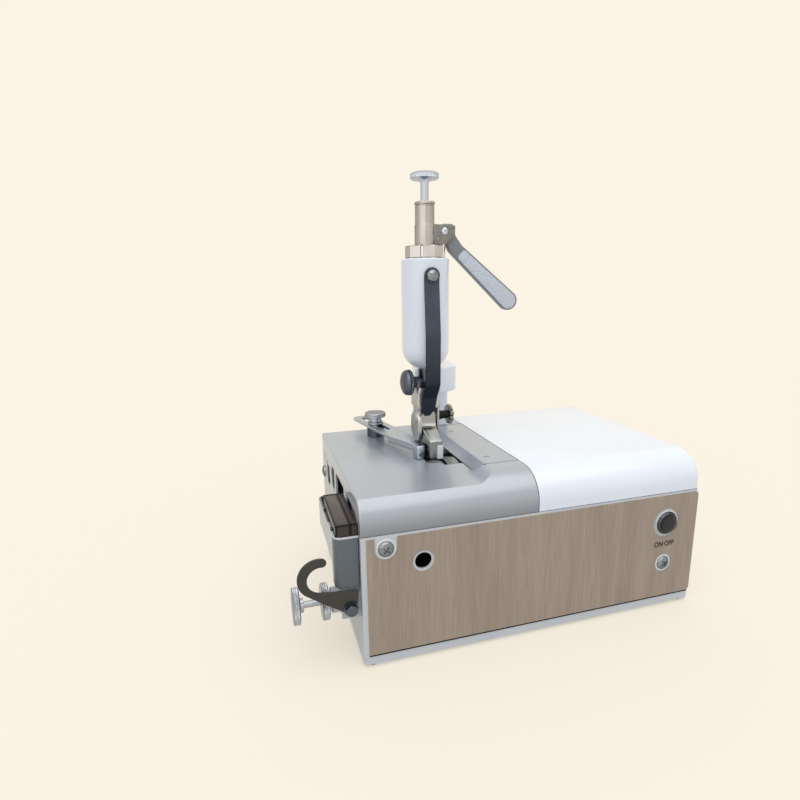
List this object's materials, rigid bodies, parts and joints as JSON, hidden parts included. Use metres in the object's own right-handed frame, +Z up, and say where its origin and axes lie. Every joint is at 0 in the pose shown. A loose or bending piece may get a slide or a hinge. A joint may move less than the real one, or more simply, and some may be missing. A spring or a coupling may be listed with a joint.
{
  "type": "leather splitting machine",
  "caption": "Bench machine that thins leather edges: bell knife and feed roller under a table, presser foot with lift lever on a column, edge guide, chip tray, boxy motor case.",
  "frame": {"origin": "middle of the overall box on the bench, under the rubber feet", "axes": "+X right along the front, +Y to the back, +Z up"},
  "size_m": [0.4195, 0.251, 0.4475],
  "materials": {
    "white_paint": "glossy white paint",
    "grey_casting": "satin grey metallic paint",
    "laminate": "wood-grain laminate, vertical grain",
    "steel": "turned and ground steel",
    "knife_steel": "polished tool steel",
    "nickel": "warm nickel plate",
    "bright_chrome": "chrome plate",
    "dark_steel": "blued spring steel",
    "gunmetal": "gunmetal",
    "olive_steel": "dark olive enamel",
    "black_rubber": "matt black rubber",
    "black_plastic": "satin black plastic",
    "button_plastic": "dark glossy button",
    "smoked_plastic": "smoked brown plastic",
    "tray_paint": "grey-blue paint",
    "white_plastic": "white wear plastic",
    "lever_grey": "dark grey lever, lighter panel",
    "stone": "vitrified abrasive stone",
    "iron": "machined grey iron",
    "dark_paint": "black paint"
  },
  "bodies": {
    "machine": {"base_plate": "white_paint", "rubber_feet": "black_rubber", "case_shell": "white_paint", "wood_panel": "laminate", "left_end_plate": "white_paint", "panel_screws": "bright_chrome", "table_casting": "grey_casting", "knife_plate": "grey_casting", "motor_cover": "white_paint", "bearing_pedestals": "iron", "knife_bearings": "steel", "drive_belt": "black_rubber", "motor": "dark_paint", "motor_cradles": "iron", "feed_motor": "dark_paint", "feed_belt": "black_rubber", "feed_bracket": "iron", "screw_boss": "white_paint", "hook_bolt": "steel", "tray_shelf": "white_paint", "switch_housing": "white_plastic", "power_inlet": "black_plastic", "head_casting": "white_paint", "collar_nut": "nickel", "top_sleeve": "nickel", "presser_spring": "dark_steel", "lever_bracket": "nickel", "lever_pin": "nickel", "leaf_strap": "dark_steel", "strap_stud": "bright_chrome", "guide_spacer": "bright_chrome"},
    "knife": {"bell_knife": "knife_steel", "knife_shaft": "steel", "knife_pulley": "steel"},
    "motor_rotor": {"motor_pulley": "steel"},
    "feed": {"feed_roller": "stone", "feed_shaft": "steel", "feed_pulley": "black_plastic"},
    "feed_drive": {"feed_drive_pulley": "black_plastic"},
    "carriage": {"stone_carriage": "iron"},
    "stone": {"grinding_stone": "stone", "stone_spindle": "steel"},
    "adjuster": {"adjusting_screw": "steel"},
    "lock": {"lock_nut": "steel"},
    "hook": {"hook_lever": "olive_steel"},
    "tray": {"scrap_tray": "tray_paint", "chip_guard": "smoked_plastic"},
    "button": {"power_button": "button_plastic"},
    "lever": {"lift_lever": "lever_grey"},
    "bar": {"presser_bar": "steel"},
    "rod": {"adjusting_rod": "nickel"},
    "foot_carrier": {"foot_holder": "nickel", "side_spring": "dark_steel"},
    "knob": {"tilt_knob": "gunmetal"},
    "foot": {"presser_foot": "nickel", "wear_insert": "white_plastic"},
    "foot_screw": {"side_thumb_screw": "bright_chrome"},
    "guide": {"guide_bar": "bright_chrome", "guide_block": "bright_chrome"},
    "guide_screw": {"guide_thumb_screw": "bright_chrome"}
  },
  "joints": [
    {"name": "knife_spin", "type": "hinge", "parent": "machine", "child": "knife", "pos_m": [0.0497, -0.0296, 0.1104], "axis": [1, 0, 0], "continuous": true},
    {"name": "motor_spin", "type": "hinge", "parent": "machine", "child": "motor_rotor", "pos_m": [0.1297, 0.0534, 0.055], "axis": [1, 0, 0], "continuous": true},
    {"name": "feed_spin", "type": "hinge", "parent": "machine", "child": "feed", "pos_m": [-0.0496, 0.0014, 0.1464], "axis": [0, 1, 0], "continuous": true},
    {"name": "feed_drive_spin", "type": "hinge", "parent": "machine", "child": "feed_drive", "pos_m": [-0.0496, 0.0514, 0.1044], "axis": [0, 1, 0], "continuous": true},
    {"name": "screw_turn", "type": "hinge", "parent": "machine", "child": "adjuster", "pos_m": [-0.1703, -0.0946, 0.06], "axis": [1, 0, 0], "range_deg": [-725, 725]},
    {"name": "carriage_slide", "type": "slide", "parent": "machine", "child": "carriage", "axis": [1, 0, 0], "range_m": [-0.002, 0.002]},
    {"name": "stone_spin", "type": "hinge", "parent": "carriage", "child": "stone", "pos_m": [-0.0358, -0.0296, 0.049], "axis": [0, 1, 0], "continuous": true},
    {"name": "lock_turn", "type": "hinge", "parent": "machine", "child": "lock", "pos_m": [-0.1793, -0.0946, 0.06], "axis": [1, 0, 0], "range_deg": [-90, 90]},
    {"name": "hook_swing", "type": "hinge", "parent": "machine", "child": "hook", "pos_m": [-0.1598, -0.1136, 0.062], "axis": [0, 1, 0], "range_deg": [-45, 8]},
    {"name": "tray_lift", "type": "slide", "parent": "machine", "child": "tray", "axis": [0, 0, 1], "range_m": [0, 0.06]},
    {"name": "button_press", "type": "slide", "parent": "machine", "child": "button", "axis": [0, 1, 0], "range_m": [0, 0.003], "stiffness_N_per_m": 300},
    {"name": "lever_swing", "type": "hinge", "parent": "machine", "child": "lever", "pos_m": [-0.0328, -0.0036, 0.3925], "axis": [0, -1, 0], "range_deg": [0, 80]},
    {"name": "bar_lift", "type": "slide", "parent": "machine", "child": "bar", "axis": [0, 0, 1], "range_m": [0, 0.007], "deforming": ["presser_spring"]},
    {"name": "rod_turn", "type": "hinge", "parent": "bar", "child": "rod", "pos_m": [-0.0513, -0.0036, 0.409], "axis": [0, 0, 1], "range_deg": [0, 725]},
    {"name": "holder_height", "type": "slide", "parent": "bar", "child": "foot_carrier", "axis": [0, 0, 1], "range_m": [0, 0.002]},
    {"name": "knob_turn", "type": "hinge", "parent": "foot_carrier", "child": "knob", "pos_m": [-0.0703, -0.0086, 0.2405], "axis": [1, 0, 0], "range_deg": [-180, 180]},
    {"name": "foot_tilt", "type": "hinge", "parent": "foot_carrier", "child": "foot", "pos_m": [-0.0503, -0.0056, 0.202], "axis": [-1, 0, 0], "range_deg": [0, 8]},
    {"name": "foot_screw_turn", "type": "hinge", "parent": "foot_carrier", "child": "foot_screw", "pos_m": [-0.0503, -0.0056, 0.202], "axis": [1, 0, 0], "range_deg": [-180, 180]},
    {"name": "guide_slide", "type": "slide", "parent": "machine", "child": "guide", "axis": [0.225, -0.9744, 0], "range_m": [-0.006, 0.009]},
    {"name": "guide_screw_turn", "type": "hinge", "parent": "machine", "child": "guide_screw", "pos_m": [-0.0878, 0.0814, 0.179], "axis": [0, 0, 1], "range_deg": [-180, 180]}
  ],
  "couplings": [
    {"joint": "motor_spin", "follows": "knife_spin", "ratio": 2.1429},
    {"joint": "feed_drive_spin", "follows": "feed_spin", "ratio": 0.41667},
    {"joint": "screw_turn", "follows": "carriage_slide", "rad_per_m": -6283.2},
    {"joint": "bar_lift", "follows": "lever_swing", "m_per_rad": 0.005},
    {"joint": "rod_turn", "follows": "holder_height", "rad_per_m": 6283.2}
  ]
}
